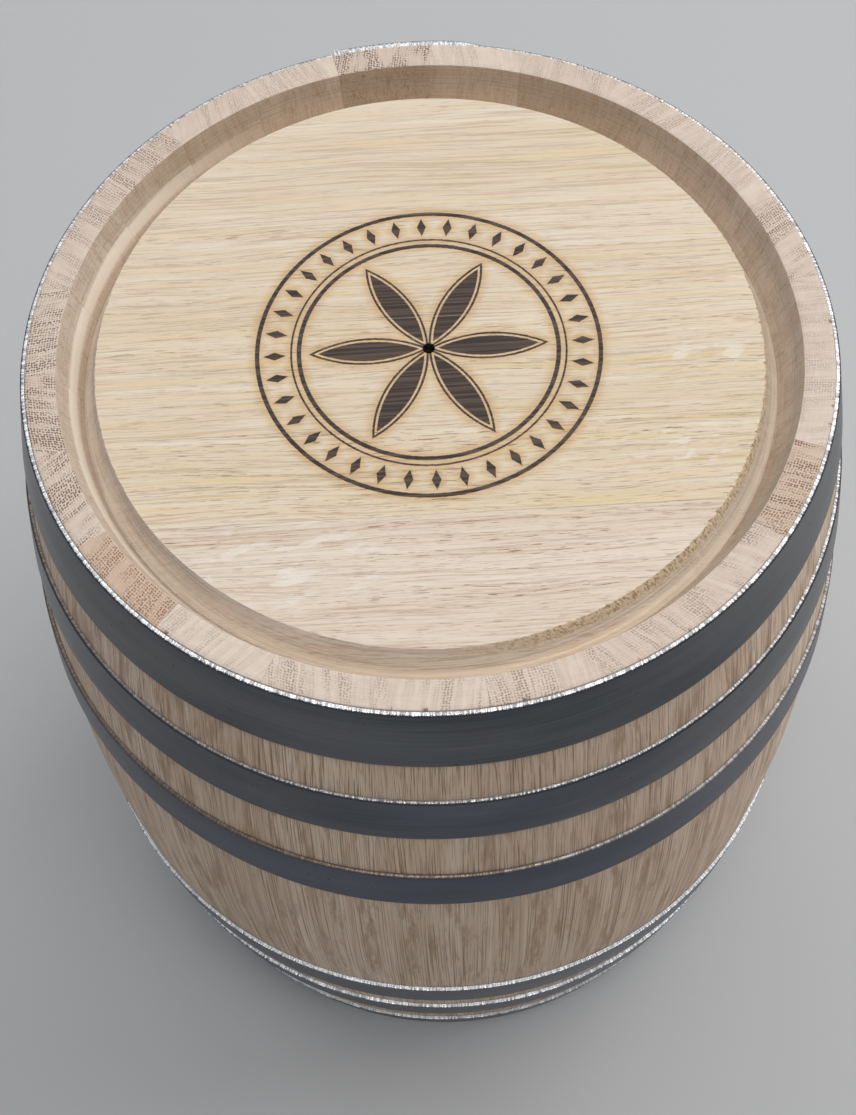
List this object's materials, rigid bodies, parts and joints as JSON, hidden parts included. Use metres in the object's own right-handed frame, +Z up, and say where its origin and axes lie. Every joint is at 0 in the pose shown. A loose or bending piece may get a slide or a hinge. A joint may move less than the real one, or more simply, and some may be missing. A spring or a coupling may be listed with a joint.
{
  "type": "oak barrel",
  "caption": "Coopered oak barrel with bulged staves, flat heads set in grooves, riveted steel hoops and a wooden bung that pulls out of the bilge.",
  "frame": {"origin": "centre of the lower chime, on the floor that the barrel stands on", "axes": "+Z up along the barrel's axis, -Y to the front of the picture, the bung near +Y"},
  "size_m": [0.329, 0.3331, 0.385],
  "materials": {
    "stave_oak": "raw sanded oak, charred inside",
    "head_oak": "planed oak, charred inside",
    "dowel_wood": "plain turned wood",
    "hoop_steel": "satin galvanised steel with bright sheared edges",
    "rivet_steel": "satin steel",
    "bung_wood": "plain turned wood"
  },
  "bodies": {
    "barrel": {"stave_01": "stave_oak", "stave_02": "stave_oak", "stave_03": "stave_oak", "stave_04": "stave_oak", "stave_05": "stave_oak", "stave_07": "stave_oak", "stave_08": "stave_oak", "stave_09": "stave_oak", "stave_10": "stave_oak", "stave_11": "stave_oak", "stave_12": "stave_oak", "stave_13": "stave_oak", "stave_14": "stave_oak", "stave_15": "stave_oak", "stave_16": "stave_oak", "stave_17": "stave_oak", "stave_18": "stave_oak", "stave_19": "stave_oak", "stave_20": "stave_oak", "stave_21": "stave_oak", "stave_22": "stave_oak", "stave_23": "stave_oak", "bung_stave": "stave_oak", "top_head_board_1": "head_oak", "top_head_board_2": "head_oak", "top_head_board_3": "head_oak", "top_head_board_4": "head_oak", "top_head_board_5": "head_oak", "bottom_head_board_1": "head_oak", "bottom_head_board_2": "head_oak", "bottom_head_board_3": "head_oak", "bottom_head_board_4": "head_oak", "bottom_head_board_5": "head_oak", "top_head_dowels": "dowel_wood", "bottom_head_dowels": "dowel_wood", "upper_head_hoop": "hoop_steel", "upper_quarter_hoop": "hoop_steel", "upper_bilge_hoop": "hoop_steel", "lower_head_hoop": "hoop_steel", "lower_quarter_hoop": "hoop_steel", "lower_bilge_hoop": "hoop_steel", "hoop_rivets": "rivet_steel"},
    "bung": {"bung": "bung_wood"}
  },
  "joints": [
    {"name": "bung_pull", "type": "slide", "parent": "barrel", "child": "bung", "axis": [-0.0822, 0.9966, 0], "range_m": [0, 0.06]}
  ]
}
